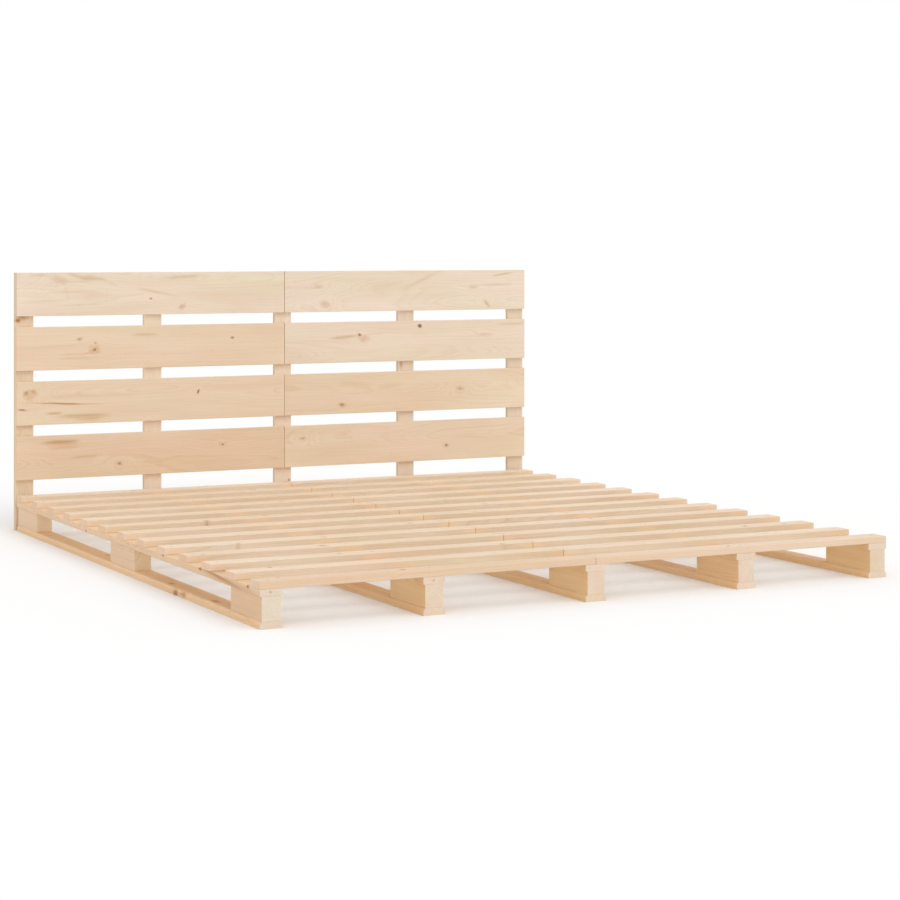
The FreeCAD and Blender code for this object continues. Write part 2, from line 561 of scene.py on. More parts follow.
class Tone(Enum):
    """Colours of planed, uncoated pine: early wood, late wood, resin-rich streaks and end grain, some with
    painted light or shade in them, as noted below.
    """

    # IVORY is a lighter PALE: painted light against the shade under the headboard's boards.
    IVORY = ("#F3E1CB", "#DCBB93", "#D2B488", "#E2CCB2")
    PALE = ("#EBDAC5", "#D6B48C", "#CDAE82", "#DCC4A8")
    CREAM = ("#EAD3B8", "#D3AC7E", "#C9A473", "#ECC9AB")
    STRAW = ("#E7CDB0", "#D0A67A", "#C59E6E", "#E7CAAC")
    HONEY = ("#E4C8A9", "#CDA177", "#C1986A", "#E9CDB0")
    # The runners' tones, AMBER to TOAST, are warmer than the rest: painted warm shade on the runners'
    # left-facing sides. Their end colours are paler, partly as real end grain and partly as painted light
    # on the ends that face the front. BUFF's end, palest of all, is painted light on block ends in the
    # shaded windows; TOAST is deeper and more orange: painted shade and bounced light under the deck.
    AMBER = ("#E9C9A4", "#CE9C68", "#BE8F5A", "#E6D8C6")
    MAIZE = ("#EFCB9F", "#D49E62", "#C69052", "#E4D6C1")
    BUFF = ("#EBCBAA", "#D09E6C", "#C0915E", "#FEEDD1")
    RUSSET = ("#E6C19D", "#CB9662", "#B98755", "#E7D9C8")
    TOAST = ("#EEC999", "#D19A5C", "#BF8B50", "#E7D3BE")


@dataclass(frozen=True)
class PlanedPine:
    """Solid pine, sawn and planed, without a coat.

    Bare planed pine is matt and warm, with a faint silky sheen along the fibres, thin orange lines of
    late wood and a knot here and there. The pith of the tree lies under or beside the board, so the
    rings show as long arches on the face and as arcs on the ends.

    Attributes:
        tone: the board's colours.
        pith: the pith's place across and through the board, in millimetres from its middle.
        lean: how far the pith moves through the board for each millimetre along it.
        contrast: how strongly the late wood shows.
        ring_width: width of one year's growth in millimetres.
        knots: its knots.
        streaks: its resin-rich streaks.
        seed: starts everything that is left to chance.
    """

    tone: Tone = Tone.CREAM
    pith: Spot = (10.0, -60.0)
    lean: float = 0.02
    contrast: float = 0.30
    ring_width: float = 3.4
    knots: tuple[Knot, ...] = ()
    streaks: tuple[Streak, ...] = ()
    seed: str = "pine"


@dataclass(frozen=True)
class Layer:
    """One layer of unevenness in the wood, with its patches' length and width in millimetres.

    Attributes:
        detail: how many finer layers it holds.
        output: "Fac" for one pattern or "Color" for three.
        reach: how far it moves the wood, in millimetres, or how much it changes the brightness.
    """

    length: float
    width: float
    detail: float
    output: str
    reach: float
    roughness: float = 0.55

    def drawn(self, node: Adder, place: Socket) -> Socket:
        """The layer's pattern, from 0 to 1 with its middle near 0.5.

        Args:
            node: adds a node to the tree in hand.
            place: where to read it, in millimetres.

        Returns:
            The pattern.
        """
        scaled = node("VectorMath:MULTIPLY", place, (1 / self.length, 1 / self.width, 1 / self.width))
        return node("TexNoise", {
            "Vector": scaled, "Scale": 1.0, "Detail": self.detail, "Roughness": self.roughness,
        }, output=self.output, noise_dimensions="3D")


class PineGrain:
    """What shows in solid pine, with every size in millimetres, built once as node groups."""

    wander = Layer(620.0, 150.0, 1.0, "Color", 34.0)
    ripple = Layer(130.0, 24.0, 2.0, "Color", 3.0)
    lines = Layer(380.0, 5.0, 3.0, "Fac", 0.20)
    clouds = Layer(420.0, 80.0, 2.0, "Color", 0.26)
    # Real fibres are 0.03 mm wide. They are drawn as bundles that a pixel can still show.
    fibres = Layer(36.0, 0.9, 2.0, "Fac", 0.09)
    # Resin canals are 0.2 mm wide, and drawn coarser so that they show close up.
    canals = Layer(9.0, 0.8, 0.0, "Fac", -0.25)
    canal_edge = (0.68, 0.78)
    trunk_reach = 9000.0

    # Rings: good and bad spells, and the shares of a year where the late wood comes and ends
    spells_per_year, spell_detail, spell_reach = 0.23, 1.0, 2.4
    late_comes, late_ends = (0.25, 0.92), (1.0, 0.95)
    year_strength = (0.55, 0.45)

    # Knots: shares of their own width, and how strongly each part of them shows
    outline_scale, outline_detail, outline_wobble = 1.3, 2.0, 1.5
    bend_fade, bend_pinch = -0.12, -0.7
    knot_ring_width, knot_ring_depth = 1.2, (0.12, 0.88)
    heart_edge, stain_edge = (1.35, 0.45), (1.5, 0.3)
    rim_place, rim_fade, rim_share, rim_breaks = 0.95, -30.0, 0.7, (-0.10, 0.12)
    side_knot_reach, through_knot_reach = 14.0, 1.0e6

    # Streaks: how abruptly they stop along and across, and how uneven they are
    stop_along, stop_across = 4.0, 2.0
    streak_breaks = (0.30, 0.62, 0.35, 1.0)

    # Ends and arrises: the depths that count, and what they add to the brightness
    end_depth, arris_width, full_depth = 1.4, 2.4, 0.3
    end_shade, arris_shade = -0.01, 0.03

    # Colour: shade is redder where it is darker, and two kinds of patches change the hue
    shade_cast = (0.55, 1.0, 1.55)
    patch_hues = ((0.03, -0.05, -0.14), (-0.09, 0.03, -0.10))
    tan_colour, heart_colour, rim_colour = "#C8935C", "#754A22", "#54361B"

    # Surface: a broad weak sheen at cellulose's IOR, rougher where fibres stand up and at the ends
    ior, sheen, roughness = 1.5, 0.35, 0.46
    fibre_roughness, late_roughness, end_roughness = 0.16, -0.08, 0.15
    relief, late_height = 0.08 * MM, 0.35

    def __init__(self) -> None:
        """Builds the groups that every board's material uses."""
        self.growth = self.growth_group()
        self.knot = self.knot_group()
        self.streak = self.streak_group()
        self.figure = self.figure_group()

    def growth_group(self) -> Tree:
        """How the trunk wandered and rippled as it grew.

        Returns:
            A group that gives the rings' drift and the rippled place.
        """
        tree, node, given = new_group(
            "pine_growth",
            dict.fromkeys(("Position", "Shift"), "Vector"), dict.fromkeys(("Drift", "Wavy"), "Vector"))
        place = node("VectorMath:ADD", given["Position"], given["Shift"])
        moves = []
        for layer in (self.wander, self.ripple):
            centred = node("VectorMath:SUBTRACT", layer.drawn(node, place), (NOISE_MIDDLE,) * 3)
            moves.append(node("VectorMath:SCALE", {0: centred, "Scale": 2 * layer.reach}))
        wavy = node("VectorMath:ADD", given["Position"], moves[1])
        node("NodeGroupOutput", {"Drift": node("VectorMath:ADD", *moves), "Wavy": wavy})
        return tree

    def knot_group(self) -> Tree:
        """One knot: how it bends the grain round it, its heart, the heart's rim and the stained wood.

        Returns:
            A group that gives each of them for one knot.
        """
        tree, node, given = new_group(
            "pine_knot",
            dict.fromkeys(("Position", "Middle", "Reach", "Look"), "Vector") | {"Rise": "Float"},
            dict.fromkeys(("Sway", "Bulge", "Heart", "Rim", "Tan"), "Float"))
        darkness, heart_share, stain = node("SeparateXYZ", given["Look"]).node.outputs
        width = node("SeparateXYZ", given["Reach"]).node.outputs[1]
        apart = node("VectorMath:SUBTRACT", given["Position"], given["Middle"])
        off = node("SeparateXYZ", apart).node.outputs
        across = node("Math:SUBTRACT", off[1], node("Math:MULTIPLY", off[0], given["Rise"]))
        shares = node("VectorMath:DIVIDE", node("CombineXYZ", off[0], across, off[2]), given["Reach"])
        plain = node("VectorMath:LENGTH", shares)

        # No knot is a true ellipse: its outline wanders by its own width
        spot = node("VectorMath:ADD", shares, given["Middle"])
        noise = node("TexNoise", {
            "Vector": spot, "Scale": self.outline_scale, "Detail": self.outline_detail}, output="Fac")
        wobble = node("Math:SUBTRACT", noise, NOISE_MIDDLE)
        away = node("Math:MULTIPLY", plain, node("Math:MULTIPLY_ADD", wobble, self.outline_wobble, 1.0))

        # The grain bends round it, less and less further out
        squared = node("Math:MULTIPLY", plain, plain)
        near = node("Math:EXPONENT", node("Math:MULTIPLY", squared, self.bend_fade))
        sway = node("Math:MULTIPLY", across, node("Math:MULTIPLY", near, self.bend_pinch))
        bulge = node("Math:MULTIPLY", near, width)

        # The heart with its fine rings, its dark and broken rim, and the stained wood
        from_heart = node("Math:DIVIDE", away, heart_share)
        inside = node("MapRange", from_heart, *self.heart_edge, **SMOOTH)
        turns = node("Math:MULTIPLY", node("Math:MULTIPLY", away, width), math.tau / self.knot_ring_width)
        rings = node("Math:MULTIPLY_ADD", node("Math:COSINE", turns), *self.knot_ring_depth)
        heart = node("Math:MULTIPLY", node("Math:MULTIPLY", inside, rings), darkness)
        off_rim = node("Math:SUBTRACT", from_heart, self.rim_place)
        squared = node("Math:MULTIPLY", off_rim, off_rim)
        rim = node("Math:EXPONENT", node("Math:MULTIPLY", squared, self.rim_fade))
        broken = node("Math:MULTIPLY", rim, node("MapRange", wobble, *self.rim_breaks, **SMOOTH))
        rim = node("Math:MULTIPLY", broken, node("Math:MULTIPLY", darkness, self.rim_share))
        tan = node("Math:MULTIPLY", node("MapRange", away, *self.stain_edge, **SMOOTH), stain)
        node("NodeGroupOutput", {"Sway": sway, "Bulge": bulge, "Heart": heart, "Rim": rim, "Tan": tan})
        return tree

    def streak_group(self) -> Tree:
        """One resin-rich streak with soft ends.

        Returns:
            A group that gives how much it stains the wood.
        """
        titles = ("Position", "Place", "Size")
        tree, node, given = new_group("pine_streak", dict.fromkeys(titles, "Vector"), {"Stain": "Float"})
        here, place, size = (node("SeparateXYZ", given[title]).node.outputs for title in titles)
        along, across = (node("Math:SUBTRACT", here[axis], place[axis]) for axis in (0, 1))
        off = node("Math:SUBTRACT", across, node("Math:MULTIPLY", along, place[2]))
        stain = size[2]
        for distance, reach, stop in ((along, size[0], self.stop_along), (off, size[1], self.stop_across)):
            share = node("Math:ABSOLUTE", node("Math:DIVIDE", distance, reach))
            raised = node("Math:POWER", share, stop)
            fall = node("Math:EXPONENT", node("Math:MULTIPLY", raised, -1.0))
            stain = node("Math:MULTIPLY", stain, fall)
        node("NodeGroupOutput", {"Stain": stain})
        return tree

    def figure_group(self) -> Tree:
        """The look of a board from its rings, fibres, knots and streaks.

        Returns:
            A group that gives the board's colour, roughness and relief.
        """
        sums = ("Sway", "Sway Through", "Bulge", "Heart", "Rim", "Tan", "Stain")
        tree, node, given = new_group(
            "pine_figure",
            dict.fromkeys(("Position", "Shift", "Drift", "Half", "Pith"), "Vector")
            | dict.fromkeys((*sums, "Ring Width", "Contrast"), "Float")
            | dict.fromkeys(("Early", "Late", "Resin", "End"), "Color"),
            {"Colour": "Color", "Roughness": "Float", "Relief": "Float"})
        sway = node("CombineXYZ", {1: given["Sway"], 2: given["Sway Through"]})
        flow = node("VectorMath:ADD", given["Position"], sway)
        shifted = node("VectorMath:ADD", flow, given["Shift"])

        # Rings: tubes round the pith, of uneven width, pushed out by each knot
        pith = node("SeparateXYZ", given["Pith"]).node.outputs
        grown = node("SeparateXYZ", node("VectorMath:ADD", flow, given["Drift"])).node.outputs
        leant = node("Math:MULTIPLY_ADD", grown[0], pith[2], grown[2])
        beside = node("Math:SUBTRACT", grown[1], pith[0])
        above = node("Math:SUBTRACT", leant, pith[1])
        distance = node("VectorMath:LENGTH", node("CombineXYZ", {1: beside, 2: above}))
        even_years = node("Math:DIVIDE", node("Math:ADD", distance, given["Bulge"]), given["Ring Width"])
        start = node("SeparateXYZ", given["Shift"])
        spells = node("Math:MULTIPLY_ADD", even_years, self.spells_per_year, start)
        spell = node("TexNoise", {
            "W": spells, "Scale": 1.0, "Detail": self.spell_detail}, output="Fac", noise_dimensions="1D")
        years = node("Math:MULTIPLY_ADD", spell, self.spell_reach, even_years)
        season = node("Math:FRACT", years)
        comes = node("MapRange", season, *self.late_comes, **SMOOTH)
        ends = node("MapRange", season, *self.late_ends, interpolation_type="LINEAR")
        whole_years = node("Math:FLOOR", years)
        year = node("TexWhiteNoise", {"W": whole_years}, output="Value", noise_dimensions="1D")
        strength = node("Math:MULTIPLY_ADD", year, *self.year_strength)
        slow, sudden = node("Math:MULTIPLY", comes, comes), node("Math:MULTIPLY", ends, strength)
        late = node("Math:MULTIPLY", slow, sudden)

        # Where the board ends, and where two of its sides meet
        outward = node("VectorMath:ABSOLUTE", given["Position"])
        depths = node("SeparateXYZ", node("VectorMath:SUBTRACT", given["Half"], outward)).node.outputs
        end, by_edge, by_face = (
            node("MapRange", depth, reach, self.full_depth, **SMOOTH)
            for depth, reach in zip(depths, (self.end_depth, self.arris_width, self.arris_width)))
        arris = node("Math:MULTIPLY", by_edge, by_face)

        # Finer figure
        line, fibre, canal, patches = (
            layer.drawn(node, shifted) for layer in (self.lines, self.fibres, self.canals, self.clouds))
        cloud, *hue_patches = node("SeparateColor", patches).node.outputs
        dash = node("Math:MULTIPLY", node("MapRange", canal, *self.canal_edge, **SMOOTH), late)

        # Colour: early to late wood, then lighter and darker patches that are warmer where they are darker
        ground = node("Mix", end, given["Early"], given["End"], **COLOURS)
        shown = node("Math:MULTIPLY", late, given["Contrast"])
        colour = node("Mix", shown, ground, given["Late"], **COLOURS)
        steps = [
            node("Math:MULTIPLY", node("Math:SUBTRACT", pattern, NOISE_MIDDLE), layer.reach)
            for pattern, layer in ((line, self.lines), (fibre, self.fibres), (cloud, self.clouds))]
        shade = node("Math:ADD", node("Math:ADD", *steps[:2]), steps[2])
        for mask, reach in ((end, self.end_shade), (arris, self.arris_shade), (dash, self.canals.reach)):
            shade = node("Math:MULTIPLY_ADD", mask, reach, shade)
        tint = node("VectorMath:MULTIPLY_ADD", shade, self.shade_cast, WHITE)
        cast = WHITE
        for patch, hue in zip(hue_patches, self.patch_hues):
            cast = node("VectorMath:MULTIPLY_ADD", node("Math:SUBTRACT", patch, NOISE_MIDDLE), hue, cast)
        colour = node("VectorMath:MULTIPLY", colour, node("VectorMath:MULTIPLY", tint, cast))

        # Resin-rich streaks, and the knots with their stained wood, heart and dark rim
        uneven = node("MapRange", line, *self.streak_breaks, **SMOOTH)
        for factor, paint in (
            (node("Math:MULTIPLY", given["Stain"], uneven), given["Resin"]),
            (given["Tan"], linear(self.tan_colour)), (given["Heart"], linear(self.heart_colour)),
            (given["Rim"], linear(self.rim_colour)),
        ):
            colour = node("Mix", factor, colour, paint, clamp_factor=True, **COLOURS)

        rough = self.roughness
        for part, reach in (
            (fibre, self.fibre_roughness), (late, self.late_roughness), (end, self.end_roughness),
        ):
            rough = node("Math:MULTIPLY_ADD", part, reach, rough)
        relief = node("Math:MULTIPLY_ADD", late, self.late_height, fibre)
        node("NodeGroupOutput", {"Colour": colour, "Roughness": rough, "Relief": relief})
        return tree

    def material(self, name: str, size: Vector, pine: PlanedPine) -> Material:
        """The material of one board.

        Args:
            name: the board's name.
            size: its length, width and thickness, in metres.
            pine: how its wood grew.

        Returns:
            A material whose pattern starts from the board's own middle.
        """
        made, node = new_material("planed_pine_" + name)
        chance = random.Random(pine.seed)
        shift = tuple(chance.uniform(0, self.trunk_reach) for _ in range(3))
        place = in_millimetres(node)
        growth = node("Group", {"Position": place, "Shift": shift}, node_tree=self.growth).node.outputs
        wavy = node("SeparateXYZ", growth["Wavy"]).node.outputs
        turned = {
            2: growth["Wavy"],
            1: node("CombineXYZ", wavy[0], wavy[2], wavy[1]),
            0: node("CombineXYZ", wavy[1], wavy[2], wavy[0]),
        }
        totals: dict[str, Socket] = {}

        def gather(title: str, value: Socket) -> None:
            """Adds a value to the total with this title."""
            totals[title] = node("Math:ADD", totals[title], value) if title in totals else value

        for knot in pine.knots:
            axis, side = knot.outlet.value
            reach_through = self.side_knot_reach if side else self.through_knot_reach
            found = node("Group", {
                "Position": turned[axis],
                "Middle": (knot.along, knot.across, side * size[axis] / 2 / MM),
                "Reach": (knot.radius * knot.stretch, knot.radius, reach_through),
                "Look": (knot.darkness, knot.heart, knot.stain),
                "Rise": knot.rise,
            }, node_tree=self.knot).node.outputs
            gather("Sway Through" if side else "Sway", found["Sway"])
            for title in ("Bulge", "Heart", "Rim", "Tan"):
                gather(title, found[title])
        for streak in pine.streaks:
            gather("Stain", node("Group", {
                "Position": turned[1] if streak.edgewise else growth["Wavy"],
                "Place": (streak.along, streak.across, streak.rise),
                "Size": (streak.half_length, streak.half_width, streak.strength),
            }, node_tree=self.streak))
        early, late, resin, end = (linear(colour) for colour in pine.tone.value)
        figure = node("Group", {
            "Position": place, "Shift": shift, "Drift": growth["Drift"], "Half": tuple(size / 2 / MM),
            "Pith": (*pine.pith, pine.lean), "Ring Width": pine.ring_width, "Contrast": pine.contrast,
            "Early": early, "Late": late, "Resin": resin, "End": end, **totals,
        }, node_tree=self.figure).node.outputs
        normal = node("Bump", {"Strength": 1.0, "Distance": self.relief, "Height": figure["Relief"]})
        node("OutputMaterial", node("BsdfPrincipled", {
            "Base Color": figure["Colour"], "Roughness": figure["Roughness"], "Normal": normal,
            "IOR": self.ior, "Specular IOR Level": self.sheen}))
        return made


class Marks(Enum):
    """What the work left on steel."""

    PITS = "fine pits in the plating"
    # The rings' lighter ridges and darker grooves are painted light and shade.
    RINGS = "rings round its length from the lathe, lighter on their ridges"


@dataclass(frozen=True)
class SteelFinish:
    """What the steel finishes share: two greys in cloudy patches, and the marks of the work.

    Attributes:
        clouds: cloudy patches per millimetre, and how many finer layers they hold.
        marks: what the work left.
        mark_size: how wide a mark is, in millimetres.
        relief: height of the marks, in metres.
        relief_share: how much of it shows.
        roughness_swing: how far the clouds change the roughness.
    """

    light: str
    dark: str
    roughness: float
    clouds: tuple[float, float]
    marks: Marks
    mark_size: float
    relief: float
    relief_share: float = 0.6
    roughness_swing: float = 0.2

    def material(self, name: str) -> Material:
        """The finish as a material.

        Args:
            name: the material's name.

        Returns:
            The material. A metal keeps the default IOR.
        """
        made, node = new_material(name)
        place = in_millimetres(node)
        scale, detail = self.clouds
        cloud = node("TexNoise", {"Vector": place, "Scale": scale, "Detail": detail}, output="Fac")
        if self.marks is Marks.RINGS:
            turns = node("Math:MULTIPLY", node("SeparateXYZ", place), math.tau / self.mark_size)
            height = node("Math:MULTIPLY_ADD", node("Math:SINE", turns), 0.5, 0.5)
            # Darker in the grooves and lighter on the ridges: painted shade and painted highlight of the
            # lathe rings, on the cloudy greys.
            cloud_and_ridge_light = node("Math:MULTIPLY", height, cloud)
        else:
            pits = {"Vector": place, "Scale": 1 / self.mark_size, "Detail": 1.0}
            height, cloud_and_ridge_light = node("TexNoise", pits, output="Fac"), cloud
        colour = node("Mix", cloud_and_ridge_light, linear(self.dark), linear(self.light), **COLOURS)
        smoothest = self.roughness - self.roughness_swing / 2
        rough = node("Math:MULTIPLY_ADD", cloud, self.roughness_swing, smoothest)
        normal = node("Bump", {"Strength": self.relief_share, "Distance": self.relief, "Height": height})
        node("OutputMaterial", node("BsdfPrincipled", {
            "Base Color": colour, "Metallic": 1.0, "Roughness": rough, "Normal": normal}))
        return made


@dataclass(frozen=True)
class ZincPlatedSteel(SteelFinish):
    """Cold-formed steel, bright zinc plated: bluish grey, a soft satin shine with fine pits."""

    light: str = "#C3C6C9"
    dark: str = "#9FA3A8"
    roughness: float = 0.32
    clouds: tuple[float, float] = (0.18, 3.0)
    marks: Marks = Marks.PITS
    mark_size: float = 0.35
    relief: float = 0.02 * MM


@dataclass(frozen=True)
class TurnedSteel(SteelFinish):
    """Free-cutting steel from the lathe: dark grey, with the fine rings that the tool left."""

    light: str = "#8C8D8F"
    dark: str = "#6B6C6F"
    roughness: float = 0.38
    clouds: tuple[float, float] = (0.12, 2.0)
    marks: Marks = Marks.RINGS
    mark_size: float = 0.4
    relief: float = 0.03 * MM


@dataclass
class Timber:
    """Makes and places wooden pieces."""

    grain: PineGrain
    made: int = 0

    def place(self, name: str, board: Board, pine: PlanedPine, node: str, slot: str) -> None:
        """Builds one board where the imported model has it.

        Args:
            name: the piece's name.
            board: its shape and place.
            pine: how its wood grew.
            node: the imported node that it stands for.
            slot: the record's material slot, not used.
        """
        piece = board.draft().to_object(name)
        piece.matrix_world = board.lay.placed(board.middle)
        piece.data.materials.append(self.grain.material(name, board.size, pine))
        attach(piece, BODY)
        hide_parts(node)
        self.made += 1
        LOG.info("%s: %d faces, %d knots", name, len(piece.data.polygons), len(pine.knots))


def boxes_of(node: str, axis: int, apart: float = 300 * MM) -> list[Box]:
    """The box of each solid in a node whose solids stand in a row.

    Args:
        node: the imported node.
        axis: 0, 1 or 2 for a row along X, Y or Z.
        apart: the least distance between two solids in the row.

    Returns:
        The boxes, in order along the row.
    """
    places = (vertex.co.copy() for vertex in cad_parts[node].data.vertices)
    points = sorted(places, key=lambda point: point[axis])
    groups = [[points[0]]]
    for before, point in zip(points, points[1:]):
        if point[axis] - before[axis] > apart:
            groups.append([])
        groups[-1].append(point)
    return [
        tuple(Vector([pick(values) for values in zip(*group)]) for pick in (min, max)) for group in groups]


# What chance may give a knot: its place in shares of the board's length and width, its radius in
# millimetres, and the rest as in Knot. They are drawn in this order.
KNOT_RANGES = {
    "along": (-0.47, 0.47), "across": (-0.42, 0.42), "radius": (4.0, 11.0), "darkness": (0.15, 0.85),
    "stretch": (1.1, 2.2), "stain": (0.2, 0.5), "heart": (0.35, 0.65), "rise": (-0.3, 0.3),
}
MOST_KNOTS, KNOT_SPACING = 4, 620.0
# A knot is scaled by this share plus the board's width over this many millimetres, at most by 1
LEAST_KNOT_SHARE, KNOT_WIDTH = 0.5, 160
PITH_BESIDE, PITH_BELOW = (-0.6, 0.6), (20, 95)
LEANS, CONTRASTS, RING_WIDTHS = (-0.05, 0.05), (0.22, 0.42), (2.4, 4.4)


def grown_by_chance(seed: str, size: Vector, tone: Tone) -> PlanedPine:
    """Pine for a board that the photograph doesn't show closely.

    Args:
        seed: starts the choice, so that each board differs and stays the same in every run.
        size: the board's length, width and thickness, in metres.
        tone: its colours.

    Returns:
        The board's growth, with its knots.
    """
    chance = random.Random(seed)
    length, width, _ = size / MM
    scales = {"along": length, "across": width, "radius": min(1.0, LEAST_KNOT_SHARE + width / KNOT_WIDTH)}
    knots = [
        Knot(**{
            title: chance.uniform(*limits) * scales.get(title, 1) for title, limits in KNOT_RANGES.items()})
        for _ in range(min(MOST_KNOTS, int(length / KNOT_SPACING + chance.random())))]
    side = chance.choice((-1, 1))
    pith = (chance.uniform(*PITH_BESIDE) * width, side * chance.uniform(*PITH_BELOW))
    lean, contrast, ring_width = (chance.uniform(*limits) for limits in (LEANS, CONTRASTS, RING_WIDTHS))
    return PlanedPine(tone, pith, lean, contrast, ring_width, tuple(knots), (), seed)


@dataclass
class Runners:
    """The five runners: a bottom board, three blocks and a top board, one on the other."""

    slope_width: float = 5 * MM
    slope_height: float = 7 * MM
    easing: float = 2.5 * MM
    arris: float = 0.9 * MM
    block_arris: float = 1.0 * MM
    nut_hole_radius: float = 7.2 * MM
    nut_hole_depth: float = 37 * MM

    def bottom_corners(self, wide: float, deep: float) -> list[Spot]:
        """Outline of the bottom board, its upper long edges planed to a slope."""
        flat, shoulder = wide - self.slope_width, deep - self.slope_height
        return [
            (-wide, -deep), (wide, -deep), (wide, shoulder), (flat, deep), (-flat, deep), (-wide, shoulder)]

    def top_corners(self, wide: float, deep: float) -> list[Spot]:
        """Outline of the top board, its lower long edges eased."""
        flat, shoulder = wide - self.easing, self.easing - deep
        return [
            (-flat, -deep), (flat, -deep), (wide, shoulder), (wide, deep), (-wide, deep), (-wide, shoulder)]

    def pine_of(self, name: str, place: str, size: Vector) -> PlanedPine:
        """How the wood of one of the runner's pieces grew.

        Args:
            name: the piece's name.
            place: which runner it belongs to.
            size: its length, width and thickness, in metres.

        Returns:
            The growth, with the marks that the photograph shows on the outer left runner.
        """
        side = Outlet.LEFT_EDGE
        if name == "runner_top_board_left":
            return PlanedPine(Tone.AMBER, (0, 14), 0.004, 0.30, 2.8, (
                Knot(-625, 8, 7.0, 0.90, 1.8, 0.5, 0.62, 0.1, side),
                Knot(-349, 8, 7.0, 0.50, 1.5, 0.5, 0.5, 0.0, side),
                Knot(-948, 6, 7.0, 0.90, 1.5, 0.5, 0.50, 0.0, side),
                Knot(310, -4, 6.0, 0.50, 1.5, 0.4, 0.5, 0.0, side),
                Knot(2, 2.0, 5.0, 0.35, 1.0, 0.25, 0.5, 0.0, Outlet.START),
            ), (
                Streak(-772, 3, 120, 3.0, 0.056, 1.0, True), Streak(-800, 0, 190, 9.0, 0.04, 0.55, True),
            ), name)
        if name == "runner_bottom_board_left":
            # MAIZE's orange and the broad streak over the top between the blocks are partly the wood's
            # colour and partly painted shade under the deck.
            return PlanedPine(Tone.MAIZE, (-8, -30), 0.01, 0.30, knots=(
                Knot(-444, -2, 9.0, 0.55, 2.4, 0.9, 0.62, 0.0, side),
                Knot(-500, 1, 8.0, 0.12, 3.0, 0.8, 0.4, 0.0, side),
                Knot(-685, 10, 9.0, 0.32, 3.4, 0.8, 0.45), Knot(-357, 8, 8.0, 0.26, 2.4, 0.8, 0.40),
                Knot(240, -12, 9.0, 0.60, 1.3, 0.6, 0.45),
            ), streaks=(Streak(-560, 0, 420, 24, 0.0, 0.35),), seed=name)
        # The inner runners' deeper, more orange TOAST is painted shade and bounced light under the deck.
        # The left runner's inner blocks take BUFF, whose very pale end colour is painted light on their
        # ends in the shaded windows.
        tone = Tone.TOAST
        if place == "left":
            tone = Tone.RUSSET if "foot" in name else Tone.BUFF
        pine = grown_by_chance(name, size, tone)
        if name == "runner_top_board_mid_left":
            mark = Knot(2, -0.5, 5.0, 0.22, 1.0, 0.20, 0.5, 0.0, Outlet.START)
            return PlanedPine(tone, (2, 15), -0.003, 0.30, 2.6, (*pine.knots, mark), (), name)
        return pine

    def build(self, timber: Timber) -> None:
        """Builds the runners and dresses them.

        Args:
            timber: makes the boards.
        """
        lay, slot = Lay.LENGTHWISE, "pine_runners"
        for place, nut in zip(RUNNER_NAMES, boxes_of("cross_nuts", 0)):
            for title, outline in (("bottom", self.bottom_corners), ("top", self.top_corners)):
                node = "runner_%s_board_%s" % (title, place)
                board = Board(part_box(node), lay, self.arris, outline)
                timber.place(node + "_pine", board, self.pine_of(node, place, board.size), node, slot)
            node = "runner_blocks_" + place
            for title, box in zip(("foot", "middle", "head"), boxes_of(node, 1)):
                board = Board(box, lay, self.block_arris)
                if title == "head":
                    # The cross nut's hole is drilled from the inner side, in the middle one from the right
                    side = Face.LEFT_EDGE if board.middle.x > MM else Face.RIGHT_EDGE
                    at, radius = board.own(middle_of(nut)), self.nut_hole_radius
                    board.holes.append(Hole(at.x, at.z, radius, self.nut_hole_depth, radius, side))
                name = "runner_block_%s_%s" % (title, place)
                timber.place(name, board, self.pine_of(name, place, board.size), node, slot)


@dataclass
class SlatDeck:
    """Thirteen rows of slats, each of two halves that meet over the middle runner."""

    rows: int = 13
    arris: float = 1.4 * MM
    screw_places: tuple[float, ...] = (15 * MM, 463.75 * MM, 897.5 * MM)

    def build(self, timber: Timber) -> list[Seat]:
        """Builds the slats and dresses them.

        Args:
            timber: makes the boards.

        Returns:
            Mouth and outward direction of each screw hole.
        """
        seats = []
        for row in range(1, self.rows + 1):
            for side, way in (("left", -1), ("right", 1)):
                node = "slat_%02d_%s" % (row, side)
                board = Board(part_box(node), Lay.ACROSS_FLAT, self.arris)
                for place in self.screw_places:
                    board.holes.append(Hole(way * place - board.middle.x, 0.0))
                    mouth = Vector((way * place, board.middle.y, board.box[1].z))
                    seats.append((mouth, Vector((0, 0, 1))))
                # Row 1 takes darker tones than the rest: painted shade along the front of the deck.
                tone = (Tone.HONEY if side == "left" else Tone.STRAW) if row == 1 else Tone.CREAM
                pine = grown_by_chance(node, board.size, tone)
                timber.place(node + "_pine", board, pine, node, "pine_slats")
        return seats


